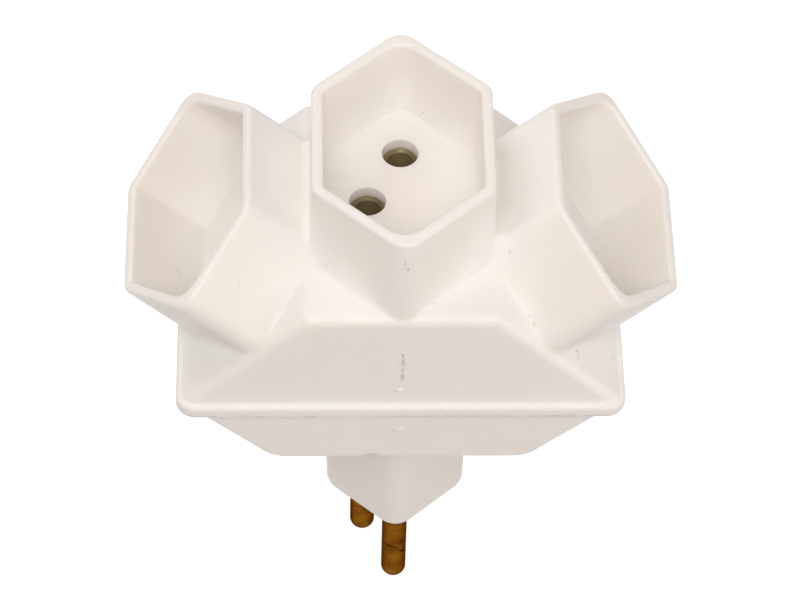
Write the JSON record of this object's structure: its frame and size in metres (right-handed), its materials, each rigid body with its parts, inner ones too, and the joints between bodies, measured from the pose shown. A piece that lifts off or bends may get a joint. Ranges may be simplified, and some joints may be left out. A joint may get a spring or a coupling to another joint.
{
  "type": "three-way plug adapter",
  "caption": "Plug adapter whose faceted housing fans out into hexagonal outlet cups above a hexagonal plug with round brass pins.",
  "frame": {"origin": "middle of the plug face, halfway between the line pin and the neutral pin", "axes": "+Z away from the wall towards the top outlet, Y along the line from pin to pin, -X towards the earth pin"},
  "size_m": [0.082, 0.0462, 0.0957],
  "materials": {
    "housing_plastic": "warm white moulded plastic, satin, slightly soiled",
    "pin_brass": "turned brass, tarnished brown",
    "contact_brass": "stamped and rolled brass, dull",
    "spring_steel": "bright spring steel",
    "barrier_board": "plain insulating board, matt"
  },
  "bodies": {
    "root": {"upper_housing": "housing_plastic", "lower_housing": "housing_plastic", "line_pin": "pin_brass", "line_busbar": "contact_brass", "line_contact_left": "contact_brass", "line_spring_left": "spring_steel", "line_contact_top": "contact_brass", "line_spring_top": "spring_steel", "line_contact_right": "contact_brass", "line_spring_right": "spring_steel", "neutral_pin": "pin_brass", "neutral_busbar": "contact_brass", "neutral_contact_left": "contact_brass", "neutral_spring_left": "spring_steel", "neutral_contact_top": "contact_brass", "neutral_spring_top": "spring_steel", "neutral_contact_right": "contact_brass", "neutral_spring_right": "spring_steel", "earth_pin": "pin_brass", "earth_busbar": "contact_brass", "earth_contact_left": "contact_brass", "earth_spring_left": "spring_steel", "earth_contact_top": "contact_brass", "earth_spring_top": "spring_steel", "earth_contact_right": "contact_brass", "earth_spring_right": "spring_steel", "line_barrier": "barrier_board", "neutral_barrier": "barrier_board"}
  },
  "joints": []
}
